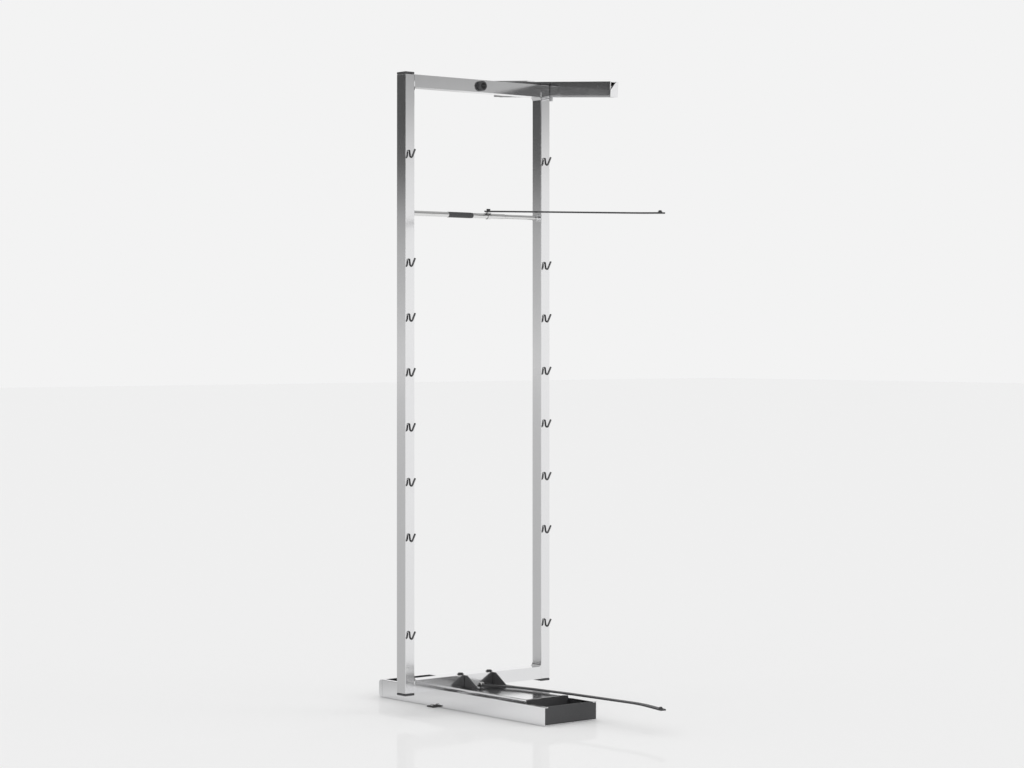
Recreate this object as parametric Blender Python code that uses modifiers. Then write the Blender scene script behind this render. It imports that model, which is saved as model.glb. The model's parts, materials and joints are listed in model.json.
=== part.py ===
"""Pull-out larder frame: floor runner, hook frame, two door arms and a top guide rail.

World frame: metres, +Z up, +X along the frame, -Y towards the cabinet's door.
The origin lies on the runner's underside, below the front face of the frame.
"""
import math

import bmesh
import bpy
from mathutils import Matrix, Vector

MM = 0.001
GAP = 0.3                       # clearance between neighbouring pieces

# Frame of square tube
TUBE = 25.0                     # height of the cross tubes
POST = 23.0                     # width of the posts
DEPTH = 28.0                    # depth of posts and cross tubes
WALL = 1.5
FRAME_WIDTH = 374.0
FRAME_HEIGHT = 1220.0
FRAME_FOOT = 43.0               # underside of the frame above the floor
CORNER_RADIUS = 6.0
FRAME_TOP = FRAME_FOOT + FRAME_HEIGHT
POST_X = (FRAME_WIDTH - POST) / 2
TUBE_Y = DEPTH / 2

# Floor runner
RUNNER_X = 3.0                  # middle of the runner
CHANNEL_WIDTH = 134.0
CHANNEL_HEIGHT = 36.0
SHEET = 2.0
LIP = 10.0
CHANNEL_FRONT = -277.0
CHANNEL_REAR = 240.0
REAR_CAP = 10.0
LUG_Y = 63.0
LUG_REACH = 13.0

# Carriage
CARRIAGE_WIDTH = 109.0
CARRIAGE_TOP = 42.5
CARRIAGE_FRONT = -208.0
CARRIAGE_REAR = 95.0
CAGE_FRONT = -240.0
CAGE_REAR = 85.0
BALLS = 7
BALL_DIAMETER = 8.6
GUSSET_X = 37.0
GUSSET_REACH = 42.0
GUSSET_HEIGHT = 24.5

# Hooks, by their height above the frame's underside
HOOK_HEIGHTS = (1062.0, 848.0, 740.0, 632.0, 524.0, 416.0, 307.0, 115.0)
HOOK_STOCK = 3.8
HOOK_REACH = 21.0
HOOK_RISE = 8.5                 # above and below the hook's middle

# Cross rod and its clamp
ROD_Z = 990.0
ROD_LEFT_DIAMETER = 10.5
ROD_RIGHT_DIAMETER = 9.0
ROD_JOINT_X = 76.0
SOCKET_LENGTH = 6.0
CLAMP_X = 35.0
CLAMP_WIDTH = 8.0
ARM_DROOP = 2.5                 # degrees, about X

# Door arms
ARM_WIDTH = 11.0
ARM_THICKNESS = 3.0
LOWER_PIVOT = (-11.0, -21.0)
LOWER_ARM_PLAN = ((-11.0, -21.0), (14.0, -51.0), (30.0, -93.0), (47.0, -220.0), (60.0, -414.0), (40.0, -498.0))
UPPER_ARM_PLAN = ((0.0, 0.0), (1.0, -72.0), (12.0, -232.0), (25.0, -426.0), (5.0, -510.0))
LOWER_ARM_Z = 45.0

# Top guide rail, in the frame of its pivot
RAIL_WIDTH = 20.0
RAIL_HEIGHT = 31.0
RAIL_SHEET = 1.5
RAIL_SLOT = 9.0
RAIL_FRONT = -197.5
RAIL_REAR = 169.5
RAIL_X = 198.2
RAIL_DROOP = 4.2                # degrees, about X
PIVOT_Z = 1236.5
RAIL_BOTTOM = 4.5               # above the pivot

FINISHES = {
    "silver_paint": ((0.62, 0.62, 0.63), 0.32, 0.85),
    "black_plastic": ((0.012, 0.012, 0.013), 0.45, 0.0),
    "black_steel": ((0.02, 0.02, 0.021), 0.35, 0.6),
    "bright_steel": ((0.72, 0.72, 0.72), 0.18, 1.0),
    "grey_plastic": ((0.42, 0.42, 0.43), 0.5, 0.0),
}


def collection(name):
    """Make and link a collection."""
    made = bpy.data.collections.new(name)
    bpy.context.scene.collection.children.link(made)
    return made


def material(name):
    """Return the named finish as a Principled BSDF material, made once."""
    found = bpy.data.materials.get(name)
    if found:
        return found
    colour, roughness, metallic = FINISHES[name]
    made = bpy.data.materials.new(name)
    made.use_nodes = True
    shader = made.node_tree.nodes["Principled BSDF"]
    shader.inputs["Base Color"].default_value = (*colour, 1.0)
    shader.inputs["Roughness"].default_value = roughness
    shader.inputs["Metallic"].default_value = metallic
    return made


def node(name, bm, finish, at=(0.0, 0.0, 0.0), parent=None):
    """Turn a bmesh in millimetres into a named object, placed in millimetres."""
    bmesh.ops.recalc_face_normals(bm, faces=bm.faces)
    bmesh.ops.scale(bm, vec=(MM, MM, MM), verts=bm.verts)
    mesh = bpy.data.meshes.new(name)
    bm.to_mesh(mesh)
    bm.free()
    return place(name, mesh, finish, at, parent)


def place(name, mesh, finish, at, parent=None):
    """Link an object that shows a mesh, with its finish, at a place in millimetres."""
    obj = bpy.data.objects.new(name, mesh)
    if not mesh.materials:
        mesh.materials.append(material(finish))
    obj.location = Vector(at) * MM
    obj.parent = parent
    PARTS.objects.link(obj)
    return obj


def pivot(name, at, droop):
    """Add an empty on a joint's axis, tipped about X so that its front hangs lower."""
    empty = bpy.data.objects.new(name, None)
    empty.location = Vector(at) * MM
    empty.rotation_euler = (math.radians(droop), 0.0, 0.0)
    PARTS.objects.link(empty)
    return empty


def prism(outline, low, high, axis):
    """Extrude a flat outline between two levels of an axis.

    The outline's pairs are (y, z) for axis "x", (x, z) for "y" and (x, y) for "z".
    """
    order = {"x": lambda u, v, w: (w, u, v), "y": lambda u, v, w: (u, w, v), "z": lambda u, v, w: (u, v, w)}[axis]
    bm = bmesh.new()
    face = bm.faces.new([bm.verts.new(order(u, v, low)) for u, v in outline])
    grown = bmesh.ops.extrude_face_region(bm, geom=[face])
    moved = [item for item in grown["geom"] if isinstance(item, bmesh.types.BMVert)]
    bmesh.ops.translate(bm, vec=order(0.0, 0.0, high - low), verts=moved)
    return bm


def box(low, high):
    """A block between two corners."""
    bm = bmesh.new()
    bmesh.ops.create_cube(bm, size=1.0)
    size = [h - l for l, h in zip(low, high)]
    bmesh.ops.scale(bm, vec=size, verts=bm.verts)
    bmesh.ops.translate(bm, vec=[(h + l) / 2 for l, h in zip(low, high)], verts=bm.verts)
    return bm


def rod(diameter, start, end, axis, centre=(0.0, 0.0), segments=32):
    """A round bar along an axis; centre gives its two other coordinates in order."""
    bm = bmesh.new()
    bmesh.ops.create_cone(bm, cap_ends=True, segments=segments, radius1=diameter / 2,
                          radius2=diameter / 2, depth=end - start)
    middle = (start + end) / 2
    turn = {"x": Matrix.Rotation(math.pi / 2, 3, "Y"), "y": Matrix.Rotation(math.pi / 2, 3, "X"),
            "z": Matrix.Identity(3)}[axis]
    bmesh.ops.rotate(bm, cent=(0, 0, 0), matrix=turn, verts=bm.verts)
    a, b = centre
    shift = {"x": (middle, a, b), "y": (a, middle, b), "z": (a, b, middle)}[axis]
    bmesh.ops.translate(bm, vec=shift, verts=bm.verts)
    return bm


def arc(cx, cy, radius, start, end, steps=6):
    """Points along an arc, in degrees."""
    angles = [math.radians(start + (end - start) * i / steps) for i in range(steps + 1)]
    return [(cx + radius * math.cos(a), cy + radius * math.sin(a)) for a in angles]


def soften(obj, width, segments=2):
    """Round an object's sharp edges with an applied bevel."""
    bevel = obj.modifiers.new("Bevel", "BEVEL")
    bevel.width = width * MM
    bevel.segments = segments
    bevel.limit_method = "ANGLE"
    bevel.angle_limit = math.radians(40)
    apply_modifiers(obj)


def cut(obj, cutter_mesh, name, operation="DIFFERENCE"):
    """Cut or join a shape with an exact Boolean, and keep the cutter hidden."""
    cutter = bpy.data.objects.new(name, cutter_mesh)
    CUTTERS.objects.link(cutter)
    cutter.matrix_world = matrix_of(obj)
    cutter.hide_render = True
    cutter.display_type = "WIRE"
    change = obj.modifiers.new("Boolean", "BOOLEAN")
    change.operation = operation
    change.solver = "EXACT"
    change.object = cutter
    apply_modifiers(obj)


def matrix_of(obj):
    """An object's place in the world, worked out without waiting for the scene."""
    own = Matrix.LocRotScale(obj.location, obj.rotation_euler, None)
    return matrix_of(obj.parent) @ own if obj.parent else own


def apply_modifiers(obj):
    """Bake an object's modifiers into its own mesh."""
    bpy.context.view_layer.update()
    evaluated = obj.evaluated_get(bpy.context.evaluated_depsgraph_get())
    mesh = bpy.data.meshes.new_from_object(evaluated)
    obj.modifiers.clear()
    obj.data = mesh


def tool(bm):
    """Turn a bmesh in millimetres into a cutter's mesh."""
    bmesh.ops.recalc_face_normals(bm, faces=bm.faces)
    bmesh.ops.scale(bm, vec=(MM, MM, MM), verts=bm.verts)
    mesh = bpy.data.meshes.new("cutter")
    bm.to_mesh(mesh)
    bm.free()
    return mesh


def ribbon(plan, width):
    """Outline of a flat bar along a plan, with a round eye at its start."""
    points = [Vector(p) for p in plan]
    left, right = [], []
    for i, point in enumerate(points):
        before = (point - points[i - 1]).normalized() if i else (points[1] - point).normalized()
        after = (points[i + 1] - point).normalized() if i + 1 < len(points) else before
        along = (before + after).normalized()
        side = Vector((-along.y, along.x)) * width / 2
        left.append(tuple(point + side))
        right.append(tuple(point - side))
    first = (points[1] - points[0]).normalized()
    heading = math.degrees(math.atan2(first.y, first.x))
    eye = arc(points[0].x, points[0].y, width * 0.75, heading + 60, heading + 300, 10)
    return eye + right[1:] + left[:0:-1]


def smooth_plan(plan, rounds=2, longest_cut=14.0):
    """Round a plan's corners by cutting each of them in turn, by at most a set length."""
    points = [Vector(p) for p in plan]
    for _ in range(rounds):
        cornered = [points[0]]
        for a, b in zip(points, points[1:]):
            share = min(0.22, longest_cut / (b - a).length)
            cornered += [a.lerp(b, share), a.lerp(b, 1.0 - share)]
        points = cornered + [points[-1]]
        longest_cut /= 3
    return points


def build_runner():
    """The fixed channel on the floor, its end caps and its fixing lugs."""
    half, inner, lip = CHANNEL_WIDTH / 2, CHANNEL_WIDTH / 2 - SHEET, CHANNEL_WIDTH / 2 - LIP
    top, under = CHANNEL_HEIGHT, CHANNEL_HEIGHT - SHEET
    outline = [(-half, 0), (half, 0), (half, top), (lip, top), (lip, under), (inner, under),
               (inner, SHEET), (-inner, SHEET), (-inner, under), (-lip, under), (-lip, top), (-half, top)]
    at = (RUNNER_X, 0, 0)
    channel = node("base_channel", prism(outline, CHANNEL_FRONT, CHANNEL_REAR, "y"), "silver_paint", at)
    soften(channel, 0.6)

    fit = inner - GAP
    step = lip - GAP
    low, shoulder = SHEET + GAP, under - GAP
    cap = [(-fit, low), (fit, low), (fit, shoulder), (step, shoulder), (step, top), (-step, top),
           (-step, shoulder), (-fit, shoulder)]
    front = node("channel_front_cap", prism(cap, CHANNEL_FRONT + 0.5, CHANNEL_FRONT + 6.5, "y"), "black_plastic",
                 at)
    soften(front, 0.4)

    rear, radius = CHANNEL_REAR + GAP, 7.0
    end = rear + REAR_CAP
    side = [(rear, 0), *arc(end - radius, radius, radius, -90, 0), *arc(end - radius, top - radius, radius, 0, 90),
            (rear, top)]
    node("channel_rear_cap", prism(side, -half, half, "x"), "silver_paint", at)

    for name, sign in (("left", -1), ("right", 1)):
        start, reach = sign * (half + GAP), sign * (half + LUG_REACH)
        lug = node(f"fixing_lug_{name}", box((min(start, reach), LUG_Y - 10, 0), (max(start, reach), LUG_Y + 10, 2.5)),
                   "black_steel", at)
        soften(lug, 0.8)
        screw = node(f"lug_screw_{name}", rod(7, 2.7, 5.2, "z", (sign * (half + 7), LUG_Y), 20),
                     "bright_steel", at)
        soften(screw, 0.7)


def build_ball_cages():
    """Two strips of bearing balls that roll between the channel and the carriage."""
    middle = (CHANNEL_WIDTH / 2 - SHEET + CARRIAGE_WIDTH / 2) / 2
    for name, sign in (("left", -1), ("right", 1)):
        x = sign * middle
        cage = node(f"ball_cage_{name}", box((x - 1.5, CAGE_FRONT, 5), (x + 1.5, CAGE_REAR, 33)), "black_plastic",
                    (RUNNER_X, 0, 0))
        for i in range(BALLS):
            ball = bmesh.new()
            bmesh.ops.create_uvsphere(ball, u_segments=14, v_segments=8, radius=BALL_DIAMETER / 2)
            y = CAGE_FRONT + (CAGE_REAR - CAGE_FRONT) * (i + 0.5) / BALLS
            bmesh.ops.translate(ball, vec=(x, y, 19), verts=ball.verts)
            cut(cage, tool(ball), f"ball_{name}_{i + 1}", "UNION")


def build_carriage():
    """The sliding inner channel that carries the frame, its cap and its gussets."""
    half, inner, top = CARRIAGE_WIDTH / 2, CARRIAGE_WIDTH / 2 - SHEET, CARRIAGE_TOP
    outline = [(-half, 8), (-inner, 8), (-inner, top - SHEET), (inner, top - SHEET), (inner, 8), (half, 8),
               (half, top), (-half, top)]
    carriage = node("carriage", prism(outline, CARRIAGE_FRONT, CARRIAGE_REAR, "y"), "silver_paint", (RUNNER_X, 0, 0))
    soften(carriage, 0.8)
    fit = inner - GAP
    cap = node("carriage_front_cap", box((-fit, CARRIAGE_FRONT + 0.3, 6), (fit, CARRIAGE_FRONT + 9, top - SHEET - GAP)),
               "black_plastic", (RUNNER_X, 0, 0))
    soften(cap, 0.5)

    foot = CARRIAGE_TOP + GAP
    web = [(-0.4, foot), (-GUSSET_REACH, foot), (-GUSSET_REACH, foot + 1.5), (-7, foot + GUSSET_HEIGHT),
           (-0.4, foot + GUSSET_HEIGHT)]
    for name, sign in (("left", -1), ("right", 1)):
        x = sign * GUSSET_X
        gusset = node(f"gusset_{name}", prism(web, x - 1.5, x + 1.5, "x"), "black_steel")
        soften(gusset, 0.4)
        head = node(f"frame_bolt_{name}", rod(11, FRAME_FOOT + TUBE + GAP, FRAME_FOOT + TUBE + 3, "z", (x, TUBE_Y), 6),
                    "black_steel")
        soften(head, 0.5)


def build_tubes():
    """Two posts, two cross tubes and the four end plugs."""
    bore, half = TUBE / 2 - WALL, POST / 2
    for name, sign in (("left", -1), ("right", 1)):
        x = sign * POST_X
        post = node(f"post_{name}", box((x - half, 0, FRAME_FOOT), (x + half, DEPTH, FRAME_TOP)), "silver_paint")
        soften(post, 1.0)
        hollow = box((x - half + WALL, WALL, FRAME_FOOT - 5), (x + half - WALL, DEPTH - WALL, FRAME_TOP + 5))
        cut(post, tool(hollow), f"bore_{name}")
        build_plug(f"bottom_plug_{name}", x, FRAME_FOOT - GAP, -1)
        build_plug(f"top_plug_{name}", x, FRAME_TOP + GAP, 1)

    half, r = FRAME_WIDTH / 2 - POST - GAP, CORNER_RADIUS
    for name, level, up in (("bottom_tube", FRAME_FOOT, 1), ("top_tube", FRAME_TOP, -1)):
        inside = level + up * (TUBE + r)
        right = arc(half - r, inside, r, 0, -90 * up)
        left = arc(-half + r, inside, r, 180 + 90 * up, 180)
        tube = node(name, prism([(-half, level), (half, level), *right, *left], 0, DEPTH, "y"), "silver_paint")
        middle = level + up * TUBE / 2
        cut(tube, tool(box((-half - 5, WALL, middle - bore), (half + 5, DEPTH - WALL, middle + bore))), f"{name}_bore")


def build_plug(name, x, seat, up):
    """A square plastic end plug with a stem inside the post."""
    half, inset = POST / 2, WALL + GAP
    levels = sorted((seat, seat + up * 4.5))
    plug = node(name, box((x - half, 0, levels[0]), (x + half, DEPTH, levels[1])), "black_plastic")
    soften(plug, 1.0)
    inside = sorted((seat + up * 2, seat - up * 12))
    stem = box((x - half + inset, inset, inside[0]), (x + half - inset, DEPTH - inset, inside[1]))
    cut(plug, tool(stem), f"{name}_stem", "UNION")


def build_hooks():
    """Eight bent hooks on each post, all from one mesh."""
    curve = bpy.data.curves.new("hook_bend", "CURVE")
    curve.dimensions = "3D"
    curve.bevel_depth = HOOK_STOCK / 2 * MM
    curve.bevel_resolution = 2
    curve.use_fill_caps = True
    bend = curve.splines.new("POLY")
    bend_radius, seat = 4.6, -HOOK_RISE + HOOK_STOCK / 2
    path = [(-0.4, HOOK_RISE - 2.0), (-3.0, HOOK_RISE - 2.0), *arc(-9.0, seat + bend_radius, bend_radius, 350, 212, 7),
            (-HOOK_REACH, HOOK_RISE)]
    bend.points.add(len(path) - 1)
    for point, (y, z) in zip(bend.points, path):
        point.co = (0.0, y * MM, z * MM, 1.0)
    shape = bpy.data.objects.new("hook_bend", curve)
    bpy.context.scene.collection.objects.link(shape)
    bpy.context.view_layer.update()
    mesh = bpy.data.meshes.new_from_object(shape)
    bpy.data.objects.remove(shape)
    weld = bmesh.new()
    weld.from_mesh(mesh)
    bmesh.ops.remove_doubles(weld, verts=weld.verts, dist=0.00001)
    bmesh.ops.recalc_face_normals(weld, faces=weld.faces)
    weld.to_mesh(mesh)
    weld.free()
    for name, x in (("left", -POST_X - 3.5), ("right", POST_X - 3.5)):
        for i, height in enumerate(HOOK_HEIGHTS):
            place(f"hook_{name}_{i + 1}", mesh, "silver_paint", (x, 0, FRAME_FOOT + height))


def build_cross_rod():
    """The cross rod in its two sections, its end sockets and the front buffer knob."""
    edge = FRAME_WIDTH / 2 - POST - GAP
    at = (TUBE_Y, ROD_Z)
    node("rod_socket_left", rod(16, -edge, -edge + SOCKET_LENGTH, "x", at), "silver_paint")
    node("rod_socket_right", rod(16, edge - SOCKET_LENGTH, edge, "x", at), "silver_paint")
    node("cross_rod_left", rod(ROD_LEFT_DIAMETER, -edge + SOCKET_LENGTH + GAP, ROD_JOINT_X, "x", at), "bright_steel")
    node("cross_rod_right", rod(ROD_RIGHT_DIAMETER, ROD_JOINT_X + 1, edge - SOCKET_LENGTH - GAP, "x", at),
         "bright_steel")
    knob = node("door_buffer", rod(20, -9, -GAP, "y", (4.0, FRAME_TOP - TUBE / 2), 40), "black_plastic")
    soften(knob, 2.0, 3)


def build_lower_arm():
    """The lower door arm on a vertical pin between the gussets."""
    px, py = LOWER_PIVOT
    pin = node("lower_arm_pin", rod(6, CARRIAGE_TOP + 0.2, LOWER_ARM_Z + ARM_THICKNESS + 1, "z"), "bright_steel",
               (px, py, 0))
    head = rod(12, LOWER_ARM_Z + ARM_THICKNESS + 0.4, LOWER_ARM_Z + ARM_THICKNESS + 4, "z")
    cut(pin, tool(head), "lower_pin_head", "UNION")
    hinge = pivot("lower_arm_pivot", (px, py, 0), 0.0)
    plan = [(p[0] - px, p[1] - py) for p in smooth_plan(LOWER_ARM_PLAN)]
    arm = node("lower_arm", prism(ribbon(plan, ARM_WIDTH), LOWER_ARM_Z, LOWER_ARM_Z + ARM_THICKNESS, "z"),
               "black_steel", parent=hinge)
    cut(arm, tool(rod(6.8, LOWER_ARM_Z - 5, LOWER_ARM_Z + 10, "z")), "lower_arm_eye")
    build_end_pin("lower_arm_end_pin", LOWER_ARM_PLAN[-1][0] - px, LOWER_ARM_PLAN[-1][1] - py,
                  LOWER_ARM_Z + ARM_THICKNESS, hinge)


def build_end_pin(name, x, y, level, parent):
    """The short upstanding pin at an arm's end, which the door's socket takes."""
    pin = node(name, rod(6, level + 0.2, level + 3.6, "z", (x, y + 7), 20), "black_steel", parent=parent)
    soften(pin, 0.8)


def build_upper_arm():
    """The clamp on the cross rod, its pin and the upper door arm."""
    tip = pivot("clamp_pivot", (CLAMP_X, TUBE_Y, ROD_Z), ARM_DROOP)
    half, seat = CLAMP_WIDTH / 2, 7.6
    clamp = node("rod_clamp", rod(13.6, -half, half, "x"), "silver_paint", parent=tip)
    cut(clamp, tool(box((-half, -4, 2), (half, 4, seat))), "clamp_seat", "UNION")
    cut(clamp, tool(rod(ROD_LEFT_DIAMETER + 0.8, -20, 20, "x")), "clamp_bore")
    pin = node("clamp_pin", rod(5, seat + 0.2, seat + ARM_THICKNESS + 2, "z"), "black_plastic", parent=tip)
    cut(pin, tool(rod(8, seat + ARM_THICKNESS + 0.8, seat + ARM_THICKNESS + 4, "z")), "clamp_pin_head", "UNION")
    plan = [tuple(p) for p in smooth_plan(UPPER_ARM_PLAN)]
    low = seat + 0.4
    arm = node("upper_arm", prism(ribbon(plan, ARM_WIDTH), low, low + ARM_THICKNESS, "z"), "black_steel", parent=tip)
    cut(arm, tool(rod(5.8, 0, 30, "z")), "upper_arm_eye")
    build_end_pin("upper_arm_end_pin", *UPPER_ARM_PLAN[-1], low + ARM_THICKNESS, tip)


def build_top_rail():
    """The guide block pivoted on the right post, and the rail that slides on it."""
    node("guide_pivot_pin", rod(4, FRAME_WIDTH / 2 + GAP, RAIL_X + 5.5, "x", (TUBE_Y, PIVOT_Z), 24), "bright_steel")
    tip = pivot("guide_pivot", (RAIL_X, TUBE_Y, PIVOT_Z), RAIL_DROOP)
    bottom, top = RAIL_BOTTOM, RAIL_BOTTOM + RAIL_HEIGHT
    lip_top = bottom + RAIL_SHEET
    tee = [(-3, -4), (3, -4), (3, lip_top + 1.5), (7, lip_top + 1.5), (7, lip_top + 12), (-7, lip_top + 12),
           (-7, lip_top + 1.5), (-3, lip_top + 1.5)]
    block = node("guide_block", prism(tee, -7, 7, "y"), "grey_plastic", parent=tip)
    cut(block, tool(rod(4.8, -10, 10, "x", segments=24)), "guide_eye")

    half, inner, slot = RAIL_WIDTH / 2, RAIL_WIDTH / 2 - RAIL_SHEET, RAIL_SLOT / 2
    outline = [(-slot, bottom), (-slot, lip_top), (-inner, lip_top), (-inner, top - RAIL_SHEET),
               (inner, top - RAIL_SHEET), (inner, lip_top), (slot, lip_top), (slot, bottom),
               (half, bottom), (half, top), (-half, top), (-half, bottom)]
    rail = node("top_rail", prism(outline, RAIL_FRONT, RAIL_REAR, "y"), "silver_paint", parent=tip)
    hole = rod(4.5, -30, 30, "x", (RAIL_FRONT + 36, top - 9))
    cut(rail, tool(hole), "rail_side_hole")
    plate = [(-half, bottom), (half, bottom), (half, top), (half - 5, top), (-half + 1, bottom + 15),
             (-half, bottom + 13)]
    node("rail_end_plate", prism(plate, RAIL_FRONT - 1.8, RAIL_FRONT - GAP, "y"), "silver_paint", parent=tip)
    strap = node("rail_fixing_strap", box((-half, RAIL_REAR - 108, top + GAP), (half, RAIL_REAR, top + GAP + 2.4)),
                 "silver_paint", parent=tip)
    soften(strap, 0.6)


for leftover in list(bpy.data.objects):
    bpy.data.objects.remove(leftover)
PARTS = collection("larder_pull_out")
CUTTERS = collection("cutters")
build_runner()
build_ball_cages()
build_carriage()
build_tubes()
build_hooks()
build_cross_rod()
build_lower_arm()
build_upper_arm()
build_top_rail()
CUTTERS.hide_render = True
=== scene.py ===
"""Looks of the pull-out larder frame: finishes, fine detail, studio and camera.

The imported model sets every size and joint. This script dresses its nodes and adds the small pieces
that sit on them: weld beads and seams, screw recesses, washers, collars, a rod sleeve and rolled lips.
"""
import json
import logging
import math
from dataclasses import dataclass, field
from enum import Enum
from typing import Iterable, Sequence

import bmesh
import bpy
from mathutils import Matrix, Vector


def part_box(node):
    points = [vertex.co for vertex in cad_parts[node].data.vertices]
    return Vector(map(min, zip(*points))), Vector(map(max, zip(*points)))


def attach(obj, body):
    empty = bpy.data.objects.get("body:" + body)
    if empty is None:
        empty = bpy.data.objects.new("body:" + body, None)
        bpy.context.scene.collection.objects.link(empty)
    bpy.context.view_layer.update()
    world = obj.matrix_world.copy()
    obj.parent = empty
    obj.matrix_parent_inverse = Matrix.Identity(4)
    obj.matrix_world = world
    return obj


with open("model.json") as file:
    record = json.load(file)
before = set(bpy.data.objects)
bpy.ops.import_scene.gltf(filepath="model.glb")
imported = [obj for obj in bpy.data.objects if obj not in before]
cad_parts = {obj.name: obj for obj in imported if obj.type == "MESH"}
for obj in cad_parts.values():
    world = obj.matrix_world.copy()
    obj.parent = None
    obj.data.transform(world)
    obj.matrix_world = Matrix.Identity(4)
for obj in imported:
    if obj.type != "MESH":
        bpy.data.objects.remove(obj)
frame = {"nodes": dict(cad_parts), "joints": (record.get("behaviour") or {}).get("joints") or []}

LOG = logging.getLogger("larder_frame")
MM = 0.001
Point = tuple[float, float, float]


class Axis(Enum):
    """A world axis that a turned piece is built along."""

    X = "X"
    Y = "Y"
    Z = "Z"

    def turn(self) -> Matrix:
        """Return the rotation that takes +Z to this axis."""
        if self is Axis.X:
            return Matrix.Rotation(math.pi / 2, 4, "Y")
        if self is Axis.Y:
            return Matrix.Rotation(-math.pi / 2, 4, "X")
        return Matrix.Identity(4)


def linear(hex_colour: str) -> tuple[float, float, float, float]:
    """Turn an sRGB hex colour into linear RGBA.

    Args:
        hex_colour: Six hex digits, such as "c8c8ca".

    Returns:
        The linear colour with alpha 1.
    """
    levels = [int(hex_colour[i:i + 2], 16) / 255 for i in (0, 2, 4)]
    return (*(v / 12.92 if v <= 0.04045 else ((v + 0.055) / 1.055) ** 2.4 for v in levels), 1.0)


def add_node(tree: bpy.types.NodeTree, kind: str, settings: dict | None = None,
             **links: object) -> bpy.types.Node:
    """Add one shader node with its settings and links.

    Args:
        tree: The node tree that the node goes in.
        kind: The node's Blender type name.
        settings: Node attributes, or default values for sockets named in "inputs".
        links: Output sockets to link in, by input name with underscores for spaces.

    Returns:
        The new node.
    """
    made = tree.nodes.new(kind)
    for key, value in (settings or {}).items():
        if key == "inputs":
            for socket, level in value.items():
                made.inputs[socket].default_value = level
        else:
            setattr(made, key, value)
    for socket, source in links.items():
        tree.links.new(source, made.inputs[socket.replace("_", " ")])
    return made


@dataclass(frozen=True)
class Finish:
    """One surface finish and the grain that its making leaves.

    Args:
        name: Plain name of the finish.
        colour: Main sRGB colour.
        second: sRGB colour of the grain's darker spots.
        roughness: Middle roughness.
        spread: How far the roughness wanders either side.
        metallic: Metallic share.
        grain_mm: Real size of the grain.
        relief_mm: Height of the grain.
        stretch: Scale of the grain along X, Y and Z.
        coat: Clear coat weight.
    """

    name: str
    colour: str
    second: str
    roughness: float
    spread: float
    metallic: float
    grain_mm: float
    relief_mm: float
    stretch: Point = (1.0, 1.0, 1.0)
    coat: float = 0.0

    def build(self) -> bpy.types.Material:
        """Make the node-based material.

        Returns:
            The new material.
        """
        made = bpy.data.materials.new(self.name)
        made.use_nodes = True
        tree = made.node_tree
        shader = tree.nodes["Principled BSDF"]
        shader.inputs["Metallic"].default_value = self.metallic
        shader.inputs["Coat Weight"].default_value = self.coat
        shader.inputs["Coat Roughness"].default_value = 0.12
        place = add_node(tree, "ShaderNodeTexCoord")
        mapped = add_node(tree, "ShaderNodeMapping", {"inputs": {"Scale": self.stretch}},
                          Vector=place.outputs["Object"])
        fine = add_node(tree, "ShaderNodeTexNoise",
                        {"inputs": {"Scale": 1.0 / (self.grain_mm * MM), "Detail": 3.0}},
                        Vector=mapped.outputs["Vector"])
        broad = add_node(tree, "ShaderNodeTexNoise", {"inputs": {"Scale": 14.0, "Detail": 2.0}},
                         Vector=place.outputs["Object"])
        ramp = add_node(tree, "ShaderNodeValToRGB", None, Fac=fine.outputs["Fac"])
        ramp.color_ramp.elements[0].position = 0.36
        ramp.color_ramp.elements[0].color = linear(self.second)
        ramp.color_ramp.elements[1].position = 0.64
        ramp.color_ramp.elements[1].color = linear(self.colour)
        tree.links.new(ramp.outputs["Color"], shader.inputs["Base Color"])
        gloss = add_node(tree, "ShaderNodeMapRange", {"inputs": {
            "To Min": self.roughness - self.spread, "To Max": self.roughness + self.spread}},
                         Value=broad.outputs["Fac"])
        tree.links.new(gloss.outputs["Result"], shader.inputs["Roughness"])
        bump = add_node(tree, "ShaderNodeBump", {"inputs": {
            "Strength": 0.35, "Distance": self.relief_mm * MM}}, Height=fine.outputs["Fac"])
        tree.links.new(bump.outputs["Normal"], shader.inputs["Normal"])
        return made


class Finishes(Enum):
    """Every finish on the object."""

    # Silver powder coat over steel tube: aluminium flake in a clear resin gives a soft, half-mirror sheen.
    # The flake is under 0.1 mm; it is drawn at 0.8 mm so that it shows.
    SILVER_COAT = Finish("silver_powder_coat", "f4f4f5", "eeeeef", 0.12, 0.02, 1.0, 0.8, 0.003)
    # Moulded black nylon: spark-eroded mould skin, satin with a fine leather-like grain.
    BLACK_NYLON = Finish("moulded_black_nylon", "484849", "434345", 0.6, 0.05, 0.0, 1.0, 0.03)
    # Black cathodic dip on pressed steel: thin, smooth and a little glossier than the nylon.
    BLACK_DIP = Finish("black_dipped_steel", "464647", "414143", 0.5, 0.05, 0.0, 1.6, 0.01, coat=0.04)
    # Drawn steel with a nickel plate: fine lines run along the bar.
    NICKEL = Finish("nickel_plated_steel", "f0f0ef", "e2e2e2", 0.12, 0.03, 1.0, 0.7, 0.006,
                    (0.05, 1.0, 1.0))
    # Bent wire of the hooks: drawn steel under a thin, darker zinc coat.
    ZINC_WIRE = Finish("zinc_coated_wire", "6f6f70", "5e5e60", 0.3, 0.05, 1.0, 0.6, 0.01)
    # Natural acetal of the guide block: pale grey, waxy.
    ACETAL = Finish("moulded_grey_acetal", "c6c7c8", "bdbebf", 0.46, 0.04, 0.0, 1.2, 0.01)
    # Rubber of the buffer's face: dull, slightly dusty. The same near-black is also put in the screw
    # recesses, where it is painted shade of their hollow insides.
    RUBBER_AND_RECESS_SHADE = Finish("black_rubber_and_recess_shade", "161617", "1d1d1e", 0.75, 0.06, 0.0, 0.9, 0.02)


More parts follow.
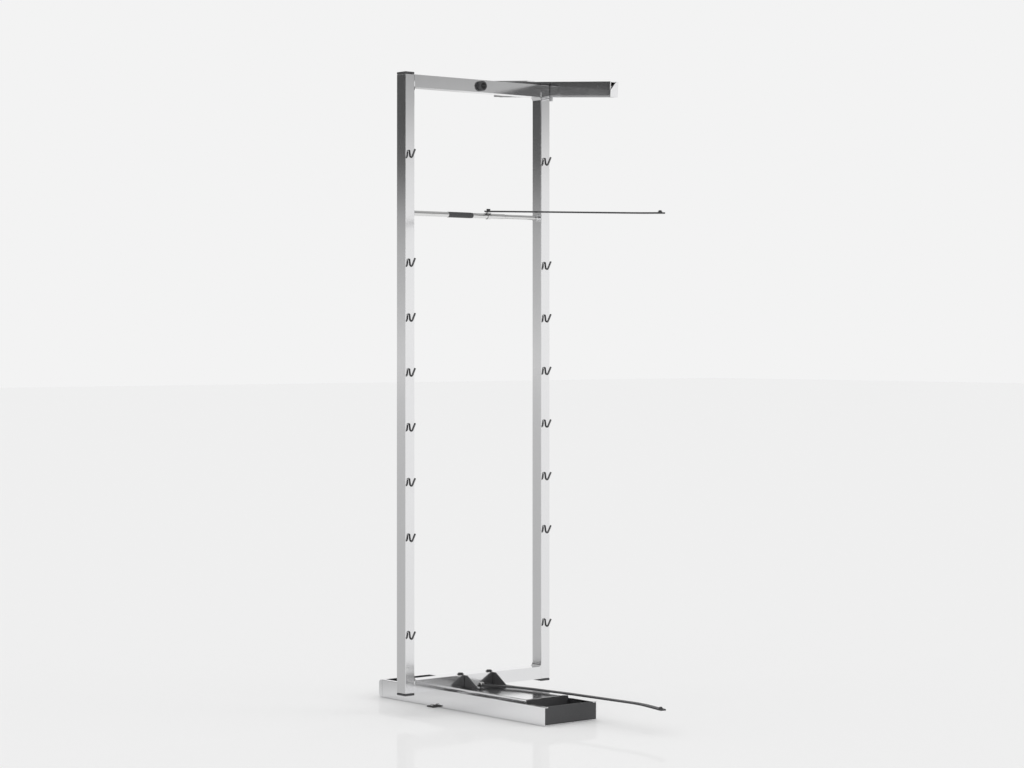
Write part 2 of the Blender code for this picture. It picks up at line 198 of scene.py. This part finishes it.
@dataclass
class Workshop:
    """Makes the materials once and turns meshes into pieces that ride on bodies."""

    made: dict[Finishes, bpy.types.Material] = field(default_factory=dict)

    def material(self, finish: Finishes) -> bpy.types.Material:
        """Return the material of a finish, built on first use."""
        if finish not in self.made:
            self.made[finish] = finish.value.build()
        return self.made[finish]

    def dress(self, finish: Finishes, *nodes: str) -> None:
        """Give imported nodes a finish.

        Args:
            finish: The finish.
            nodes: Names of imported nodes.
        """
        for name in nodes:
            slots = frame["nodes"][name].material_slots
            for slot in slots:
                slot.material = self.material(finish)
            LOG.info("%s: %s", name, finish.value.name)

    def piece(self, name: str, bm: bmesh.types.BMesh, finish: Finishes, body: str,
              slot: str) -> bpy.types.Object:
        """Turn a bmesh in metres into a smooth-shaded piece on a body.

        Args:
            name: The piece's name.
            bm: Its shape, freed here.
            finish: Its finish.
            body: The body that it rides on.
            slot: The record's material slot; not used.

        Returns:
            The new object.
        """
        bmesh.ops.recalc_face_normals(bm, faces=bm.faces)
        mesh = bpy.data.meshes.new(name)
        bm.to_mesh(mesh)
        bm.free()
        mesh.materials.append(self.material(finish))
        made = bpy.data.objects.new(name, mesh)
        bpy.context.scene.collection.objects.link(made)
        mesh.shade_smooth()
        mesh.set_sharp_from_angle(angle=math.radians(35))
        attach(made, body)
        LOG.info("%s on %s", name, body)
        return made


def centre(node: str) -> Vector:
    """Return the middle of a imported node's box."""
    low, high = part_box(node)
    return (Vector(low) + Vector(high)) / 2


def add_turned(bm: bmesh.types.BMesh, profile: Sequence[tuple[float, float]], at: Vector, axis: Axis,
               segments: int = 28) -> None:
    """Add a turned solid to a bmesh.

    Args:
        bm: The bmesh that grows.
        profile: (radius, height) pairs in millimetres from one end to the other; radius 0 closes an end.
        at: Where height 0 lies, in metres.
        axis: The turning axis.
        segments: Steps round it.
    """
    start = [bm.verts.new((r * MM, 0.0, h * MM)) for r, h in profile]
    edges = [bm.edges.new(pair) for pair in zip(start, start[1:])]
    spun = bmesh.ops.spin(bm, geom=start + edges, cent=(0, 0, 0), axis=(0, 0, 1), angle=2 * math.pi,
                          steps=segments, use_merge=True)
    made = {v for v in start if v.is_valid}
    made |= {item for item in spun["geom_last"] if isinstance(item, bmesh.types.BMVert)}
    reached = set()
    queue = [v for v in made if v.is_valid]
    while queue:
        vert = queue.pop()
        if vert in reached:
            continue
        reached.add(vert)
        queue += [edge.other_vert(vert) for edge in vert.link_edges]
    verts = list(reached)
    bmesh.ops.transform(bm, matrix=Matrix.Translation(at) @ axis.turn(), verts=verts)
    bmesh.ops.remove_doubles(bm, verts=verts, dist=1e-6)


def add_block(bm: bmesh.types.BMesh, low: Point, high: Point, bevel_mm: float) -> None:
    """Add a round-edged block to a bmesh.

    Args:
        bm: The bmesh that grows.
        low: Lowest corner, in metres.
        high: Highest corner, in metres.
        bevel_mm: Edge radius.
    """
    made = bmesh.ops.create_cube(bm, size=1.0)["verts"]
    size = [h - l for l, h in zip(low, high)]
    bmesh.ops.scale(bm, vec=size, verts=made)
    bmesh.ops.translate(bm, vec=[(h + l) / 2 for l, h in zip(low, high)], verts=made)
    edges = {edge for vert in made for edge in vert.link_edges}
    bmesh.ops.bevel(bm, geom=list(edges), offset=bevel_mm * MM, segments=3, profile=0.5, affect="EDGES")


@dataclass
class Runner:
    """The fixed floor channel with its caps and lugs."""

    shop: Workshop
    recess_reach_mm: float = 2.0
    recess_half_width_mm: float = 0.45

    def build(self) -> None:
        """Dress the runner's nodes and add its screw recesses."""
        self.shop.dress(Finishes.SILVER_COAT, "base_channel", "channel_rear_cap")
        self.shop.dress(Finishes.BLACK_NYLON, "channel_front_cap", "ball_cage_left", "ball_cage_right")
        self.shop.dress(Finishes.BLACK_DIP, "fixing_lug_left", "fixing_lug_right")
        self.shop.dress(Finishes.NICKEL, "lug_screw_left", "lug_screw_right")
        self.recesses()

    def recesses(self) -> None:
        """Add the cross recess in each lug screw's head as a near-black block: painted shade of the hollow.
        """
        for side in ("left", "right"):
            at = centre(f"lug_screw_{side}")
            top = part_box(f"lug_screw_{side}")[1][2]
            bm = bmesh.new()
            long, thin = self.recess_reach_mm, self.recess_half_width_mm
            for wide, deep in ((long, thin), (thin, long)):
                add_block(bm, (at.x - wide * MM, at.y - deep * MM, top - 0.0004),
                          (at.x + wide * MM, at.y + deep * MM, top + 0.0001), 0.08)
            # The near-black block in the recess is painted shade: the real recess is a hollow that is dark
            # from shade.
            self.shop.piece(f"lug_screw_recess_shade_{side}", bm, Finishes.RUBBER_AND_RECESS_SHADE, "runner", "black_plastic")


@dataclass
class HookFrame:
    """The carriage, gussets, tubes, hooks, rod and buffer that slide as one."""

    shop: Workshop
    weld_radius_mm: float = 2.7
    hooks: int = 8
    root_mm: float = 2.9
    sleeve_start_m: float = -0.070
    sleeve_proud_mm: float = 0.45
    seam_half_width_m: float = 0.0007
    tube_height_m: float = 0.025

    def build(self) -> None:
        """Dress the frame's nodes and add its fine detail."""
        hooks = [f"hook_{side}_{i + 1}" for side in ("left", "right") for i in range(self.hooks)]
        self.shop.dress(Finishes.SILVER_COAT, "carriage", "post_left", "post_right", "top_tube",
                        "bottom_tube", "rod_socket_left", "rod_socket_right")
        self.shop.dress(Finishes.ZINC_WIRE, *hooks)
        plugs = [f"{end}_plug_{side}" for end in ("top", "bottom") for side in ("left", "right")]
        self.shop.dress(Finishes.BLACK_NYLON, "carriage_front_cap", "door_buffer", *plugs)
        self.shop.dress(Finishes.BLACK_DIP, "gusset_left", "gusset_right", "frame_bolt_left",
                        "frame_bolt_right")
        self.shop.dress(Finishes.NICKEL, "cross_rod_left", "cross_rod_right", "lower_arm_pin",
                        "guide_pivot_pin")
        self.weld_beads(hooks)
        self.rod_sleeve()
        self.buffer_face()
        self.bolt_washers()
        self.joint_seams()

    def weld_beads(self, hooks: Iterable[str]) -> None:
        """Add the small weld bead where each hook's root meets its post.

        Args:
            hooks: Names of the hook nodes.
        """
        bm = bmesh.new()
        for name in hooks:
            low, high = (Vector(corner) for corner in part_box(name))
            at = Vector(((low.x + high.x) / 2, 0.0, high.z - self.root_mm * MM))
            r = self.weld_radius_mm
            add_turned(bm, [(0, 0), (r, 0), (r * 0.82, -0.4), (1.7, -0.9), (0, -1.0)], at, Axis.Y, 18)
        self.shop.piece("hook_weld_beads", bm, Finishes.SILVER_COAT, "frame", "silver_paint")

    def rod_sleeve(self) -> None:
        """Add the dark shrink sleeve on the rod's left section."""
        low, high = (Vector(corner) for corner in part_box("cross_rod_left"))
        radius = (high.z - low.z) / 2 / MM
        at = Vector((self.sleeve_start_m, (low.y + high.y) / 2, (low.z + high.z) / 2))
        bm = bmesh.new()
        out = radius + self.sleeve_proud_mm
        add_turned(bm, [(0, 0), (radius, 0), (out, 0.4), (out, 57.6), (radius, 63), (0, 63)], at, Axis.X)
        self.shop.piece("rod_sleeve", bm, Finishes.BLACK_NYLON, "frame", "black_plastic")

    def buffer_face(self) -> None:
        """Add the ribbed rubber face of the door buffer."""
        low, high = (Vector(corner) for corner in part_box("door_buffer"))
        at = Vector(((low.x + high.x) / 2, low.y, (low.z + high.z) / 2))
        bm = bmesh.new()
        add_turned(bm, [(0, -0.5), (5.2, -0.5), (6.2, -0.2), (6.4, 0.6), (0, 0.6)], at, Axis.Y, 36)
        self.shop.piece("buffer_pad", bm, Finishes.RUBBER_AND_RECESS_SHADE, "frame", "black_plastic")
        bm = bmesh.new()
        add_block(bm, (at.x - 0.005, low.y - 0.0009, at.z - 0.0006),
                  (at.x + 0.005, low.y + 0.0002, at.z + 0.0006), 0.3)
        self.shop.piece("buffer_slot_rib", bm, Finishes.BLACK_DIP, "frame", "black_plastic")

    def bolt_washers(self) -> None:
        """Add the washer under each frame bolt's head."""
        for side in ("left", "right"):
            low, high = (Vector(corner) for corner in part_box(f"frame_bolt_{side}"))
            at = Vector(((low.x + high.x) / 2, (low.y + high.y) / 2, low.z))
            bm = bmesh.new()
            add_turned(bm, [(0, -0.25), (6.9, -0.25), (7.2, 0.0), (6.9, 0.4), (0, 0.4)], at, Axis.Z)
            self.shop.piece(f"bolt_washer_{side}", bm, Finishes.BLACK_DIP, "frame", "black_steel")

    def joint_seams(self) -> None:
        """Add the weld seam where each cross tube meets a post."""
        bm = bmesh.new()
        for tube, post in (("top_tube", "post_left"), ("top_tube", "post_right"),
                           ("bottom_tube", "post_left"), ("bottom_tube", "post_right")):
            t_low, t_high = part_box(tube)
            p_low, p_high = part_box(post)
            x = (max(t_low[0], p_low[0]) + min(t_high[0], p_high[0])) / 2
            base = t_low[2] if tube == "bottom_tube" else t_high[2] - self.tube_height_m
            half = self.seam_half_width_m
            add_block(bm, (x - half, t_low[1] - 0.00012, base + 0.001),
                      (x + half, t_high[1] + 0.00012, base + self.tube_height_m - 0.001), 0.1)
        self.shop.piece("tube_weld_seams", bm, Finishes.SILVER_COAT, "frame", "silver_paint")


@dataclass
class DoorArms:
    """The two black arms that reach to the cabinet door."""

    shop: Workshop

    def build(self) -> None:
        """Dress the arms, the clamp and their pins."""
        self.shop.dress(Finishes.BLACK_DIP, "lower_arm", "lower_arm_end_pin", "upper_arm",
                        "upper_arm_end_pin")
        self.shop.dress(Finishes.NICKEL, "rod_clamp")
        self.shop.dress(Finishes.BLACK_NYLON, "clamp_pin")
        for arm, body in (("lower_arm", "lower_arm"), ("upper_arm", "upper_arm")):
            self.collar(f"{arm}_end_pin", body)
        self.pin_dome()

    def collar(self, pin: str, body: str) -> None:
        """Add the collar at the foot of an end pin.

        Args:
            pin: The end pin's node.
            body: The arm's body.
        """
        low, high = (Vector(corner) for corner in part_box(pin))
        at = Vector(((low.x + high.x) / 2, (low.y + high.y) / 2, low.z))
        bm = bmesh.new()
        add_turned(bm, [(0, 0), (4.4, 0), (4.4, 0.8), (3.9, 1.2), (0, 1.2)], at, Axis.Z, 24)
        self.shop.piece(f"{pin}_collar", bm, Finishes.BLACK_DIP, body, "black_steel")

    def pin_dome(self) -> None:
        """Add the domed cap on the lower arm's pivot pin."""
        low, high = (Vector(corner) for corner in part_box("lower_arm_pin"))
        at = Vector(((low.x + high.x) / 2, (low.y + high.y) / 2, high.z - 0.0001))
        bm = bmesh.new()
        add_turned(bm, [(0, 0), (5.2, 0), (4.8, 0.8), (3.6, 1.5), (1.8, 1.9), (0, 2.0)], at, Axis.Z)
        self.shop.piece("lower_pin_dome", bm, Finishes.NICKEL, "frame", "bright_steel")


@dataclass
class TopRail:
    """The guide rail, its block and its strap."""

    shop: Workshop
    bead_mm: float = 2.6

    def build(self) -> None:
        """Dress the rail's nodes and add its rolled lips."""
        self.shop.dress(Finishes.SILVER_COAT, "top_rail", "rail_end_plate", "rail_fixing_strap")
        self.shop.dress(Finishes.ACETAL, "guide_block")
        self.rolled_lips()

    def rolled_lips(self) -> None:
        """Add the rolled bead along each lower edge of the rail, parallel to its slide."""
        along = next(Vector(joint["axis"]) for joint in frame["joints"] if joint["name"] == "rail_slide")
        upright = Vector((0.0, -along.z, along.y))
        verts = [v.co for v in frame["nodes"]["top_rail"].data.vertices]
        front = min(co.dot(along) for co in verts)
        rear = max(co.dot(along) for co in verts)
        bottom = min(co.dot(upright) for co in verts)
        sides = (min(co.x for co in verts), max(co.x for co in verts))
        bm = bmesh.new()
        radius = self.bead_mm * MM
        for x, sign in ((sides[0], 1.0), (sides[1], -1.0)):
            middle = Vector((x + sign * (radius - 0.0003), 0.0, 0.0)) + upright * (bottom + radius - 0.0003)
            made = bmesh.ops.create_cone(bm, cap_ends=True, segments=20, radius1=radius, radius2=radius,
                                         depth=rear - front - 0.0004)["verts"]
            turn = Vector((0.0, 0.0, 1.0)).rotation_difference(along).to_matrix().to_4x4()
            shift = Matrix.Translation(middle + along * (front + rear) / 2)
            bmesh.ops.transform(bm, matrix=shift @ turn, verts=made)
        self.shop.piece("rail_rolled_lips", bm, Finishes.SILVER_COAT, "rail", "silver_paint")


@dataclass
class Studio:
    """Plain pale floor, soft light and the camera."""

    azimuth_deg: float = -39.8
    distance_m: float = 5.108
    height_m: float = 0.743
    aim_side_m: float = -0.0661
    lens_mm: float = 89.2
    shift_y: float = -0.0449
    key_strength: float = 0.3

    def build(self) -> None:
        """Build the floor, the sky and the key light."""
        self.floor()
        self.sky()
        self.key()

    def floor(self) -> None:
        """Add the pale, slightly glossy floor; its left side is darker in the mirror finishes only."""
        made = bpy.data.materials.new("studio_floor")
        made.use_nodes = True
        tree = made.node_tree
        tree.nodes.remove(tree.nodes["Principled BSDF"])
        turn = math.radians(-self.azimuth_deg)
        place = add_node(tree, "ShaderNodeNewGeometry")
        side = add_node(tree, "ShaderNodeVectorMath", {"operation": "DOT_PRODUCT"},
                        Vector=place.outputs["Position"])
        side.inputs[1].default_value = (math.cos(turn), -math.sin(turn), 0.0)
        reach = add_node(tree, "ShaderNodeMapRange", {"interpolation_type": "SMOOTHSTEP", "inputs": {
            "From Min": -0.08, "From Max": -0.5}}, Value=side.outputs["Value"])
        seen = add_node(tree, "ShaderNodeLightPath")
        share = add_node(tree, "ShaderNodeMath", {"operation": "MULTIPLY"})
        tree.links.new(seen.outputs["Is Glossy Ray"], share.inputs[0])
        tree.links.new(reach.outputs["Result"], share.inputs[1])
        tone = add_node(tree, "ShaderNodeMix", {"data_type": "RGBA"}, Factor=share.outputs["Value"])
        tone.inputs[6].default_value = linear("f6f6f6")
        tone.inputs[7].default_value = linear("c8c8c8")
        matt = add_node(tree, "ShaderNodeBsdfDiffuse")
        tree.links.new(tone.outputs[2], matt.inputs["Color"])
        gloss = add_node(tree, "ShaderNodeBsdfGlossy",
                         {"inputs": {"Color": linear("ffffff"), "Roughness": 0.06}})
        mixed = add_node(tree, "ShaderNodeMixShader", {"inputs": {"Fac": 0.07}})
        tree.links.new(matt.outputs["BSDF"], mixed.inputs[1])
        tree.links.new(gloss.outputs["BSDF"], mixed.inputs[2])
        tree.links.new(mixed.outputs["Shader"], tree.nodes["Material Output"].inputs["Surface"])
        bpy.ops.mesh.primitive_plane_add(size=60.0, location=(0.0, 0.0, -0.0006))
        floor = bpy.context.object
        floor.name = "studio_floor"
        floor.data.materials.append(made)

    def sky(self) -> None:
        """Set a pale world, where mirror finishes find dark flags left, right and behind the camera."""
        world = bpy.data.worlds.new("studio_world")
        bpy.context.scene.world = world
        world.use_nodes = True
        tree = world.node_tree
        background = tree.nodes["Background"]
        place = add_node(tree, "ShaderNodeTexCoord")
        split = add_node(tree, "ShaderNodeSeparateXYZ", None, Vector=place.outputs["Generated"])
        turn = math.radians(-self.azimuth_deg)
        side = add_node(tree, "ShaderNodeVectorMath", {"operation": "DOT_PRODUCT"},
                        Vector=place.outputs["Generated"])
        side.inputs[1].default_value = (math.cos(turn), -math.sin(turn), 0.0)
        left = self.flag(tree, side.outputs["Value"], split.outputs["Z"], -1.0, (0.050, 0.062), 1.0)
        low_left = self.flag(tree, side.outputs["Value"], split.outputs["Z"], -1.0, (-0.03, 0.02), 0.5)
        right = self.flag(tree, side.outputs["Value"], split.outputs["Z"], 1.0, (0.062, 0.102), 0.7)
        behind = add_node(tree, "ShaderNodeVectorMath", {"operation": "DOT_PRODUCT"},
                          Vector=place.outputs["Generated"])
        behind.inputs[1].default_value = (-math.sin(turn), -math.cos(turn), 0.0)
        room = self.flag(tree, behind.outputs["Value"], split.outputs["Z"], 1.0, (0.050, 0.062), 1.0)
        rights = add_node(tree, "ShaderNodeMath", {"operation": "ADD", "use_clamp": True})
        tree.links.new(right, rights.inputs[0])
        tree.links.new(room, rights.inputs[1])
        both = add_node(tree, "ShaderNodeMath", {"operation": "ADD", "use_clamp": True})
        lefts = add_node(tree, "ShaderNodeMath", {"operation": "ADD", "use_clamp": True})
        tree.links.new(left, lefts.inputs[0])
        tree.links.new(low_left, lefts.inputs[1])
        tree.links.new(lefts.outputs["Value"], both.inputs[0])
        tree.links.new(rights.outputs["Value"], both.inputs[1])
        ramp = add_node(tree, "ShaderNodeValToRGB", None, Fac=both.outputs["Value"])
        ramp.color_ramp.elements[0].color = linear("f3f3f3")
        ramp.color_ramp.elements[1].color = linear("484848")
        overhead = add_node(tree, "ShaderNodeMapRange", {"interpolation_type": "SMOOTHSTEP", "inputs": {
            "From Min": 0.3, "From Max": 0.5, "To Min": 1.0, "To Max": 0.5}}, Value=split.outputs["Z"])
        dimmed = add_node(tree, "ShaderNodeVectorMath", {"operation": "SCALE"})
        tree.links.new(ramp.outputs["Color"], dimmed.inputs[0])
        tree.links.new(overhead.outputs["Result"], dimmed.inputs["Scale"])
        seen = add_node(tree, "ShaderNodeLightPath")
        mixed = add_node(tree, "ShaderNodeMix", {"data_type": "RGBA"})
        tree.links.new(seen.outputs["Is Glossy Ray"], mixed.inputs["Factor"])
        mixed.inputs[6].default_value = linear("f3f3f3")
        tree.links.new(dimmed.outputs["Vector"], mixed.inputs[7])
        tree.links.new(mixed.outputs[2], background.inputs["Color"])
        background.inputs["Strength"].default_value = 1.0

    def flag(self, tree: bpy.types.NodeTree, side: bpy.types.NodeSocket, rise: bpy.types.NodeSocket,
             sign: float, edge: tuple[float, float], depth: float) -> bpy.types.NodeSocket:
        """Add one dark band of the world.

        Args:
            tree: The world's node tree.
            side: Output that runs from -1 to 1 across the flag's own direction.
            rise: Output with the direction's height.
            sign: -1 for a flag at the output's low end, 1 for one at its high end.
            edge: Heights at which the band starts and is full.
            depth: How dark it is, from 0 to 1.

        Returns:
            The output with the band's share.
        """
        reach = add_node(tree, "ShaderNodeMapRange", {"interpolation_type": "SMOOTHSTEP", "inputs": {
            "From Min": 0.55 * sign, "From Max": 0.8 * sign}}, Value=side)
        lower = add_node(tree, "ShaderNodeMapRange", {"interpolation_type": "SMOOTHSTEP", "inputs": {
            "From Min": edge[0], "From Max": edge[1]}}, Value=rise)
        upper = add_node(tree, "ShaderNodeMapRange", {"interpolation_type": "SMOOTHSTEP", "inputs": {
            "From Min": 0.55, "From Max": 0.4}}, Value=rise)
        shares = [reach.outputs["Result"], lower.outputs["Result"], upper.outputs["Result"]]
        first = add_node(tree, "ShaderNodeMath", {"operation": "MULTIPLY"})
        tree.links.new(shares[0], first.inputs[0])
        tree.links.new(shares[1], first.inputs[1])
        second = add_node(tree, "ShaderNodeMath", {"operation": "MULTIPLY"})
        tree.links.new(first.outputs["Value"], second.inputs[0])
        tree.links.new(shares[2], second.inputs[1])
        third = add_node(tree, "ShaderNodeMath", {"operation": "MULTIPLY", "inputs": {1: depth}})
        tree.links.new(second.outputs["Value"], third.inputs[0])
        return third.outputs["Value"]

    def key(self) -> None:
        """Add the key: a wide, even light that only matt surfaces take up."""
        data = bpy.data.lights.new("key", "SUN")
        data.energy = self.key_strength
        data.angle = math.radians(25.0)
        light = bpy.data.objects.new("key", data)
        light.visible_glossy = False
        light.rotation_euler = Vector((-3.2, 4.2, -2.4)).to_track_quat("-Z", "Y").to_euler()
        bpy.context.scene.collection.objects.link(light)

    def camera(self) -> None:
        """Add the level camera, framed by a small vertical shift."""
        turn = math.radians(-self.azimuth_deg)
        ahead = Vector((math.sin(turn), math.cos(turn), 0.0))
        aside = Vector((math.cos(turn), -math.sin(turn), 0.0))
        data = bpy.data.cameras.new("camera")
        data.lens = self.lens_mm
        data.sensor_width = 36.0
        data.shift_y = self.shift_y
        data.clip_end = 200.0
        camera = bpy.data.objects.new("camera", data)
        level = -ahead * self.distance_m - aside * self.aim_side_m
        camera.location = level + Vector((0.0, 0.0, self.height_m))
        camera.rotation_euler = (math.pi / 2, 0.0, -turn)
        bpy.context.scene.collection.objects.link(camera)
        bpy.context.scene.camera = camera


def main() -> None:
    """Build every class in order."""
    logging.basicConfig(level=logging.INFO, format="%(name)s: %(message)s")
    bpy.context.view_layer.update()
    bpy.context.scene.view_settings.view_transform = "Standard"
    studio = Studio()
    studio.camera()
    shop = Workshop()
    for part in (Runner(shop), HookFrame(shop), DoorArms(shop), TopRail(shop)):
        LOG.info("building %s", type(part).__name__)
        part.build()
    studio.build()


if __name__ == "__main__":
    main()
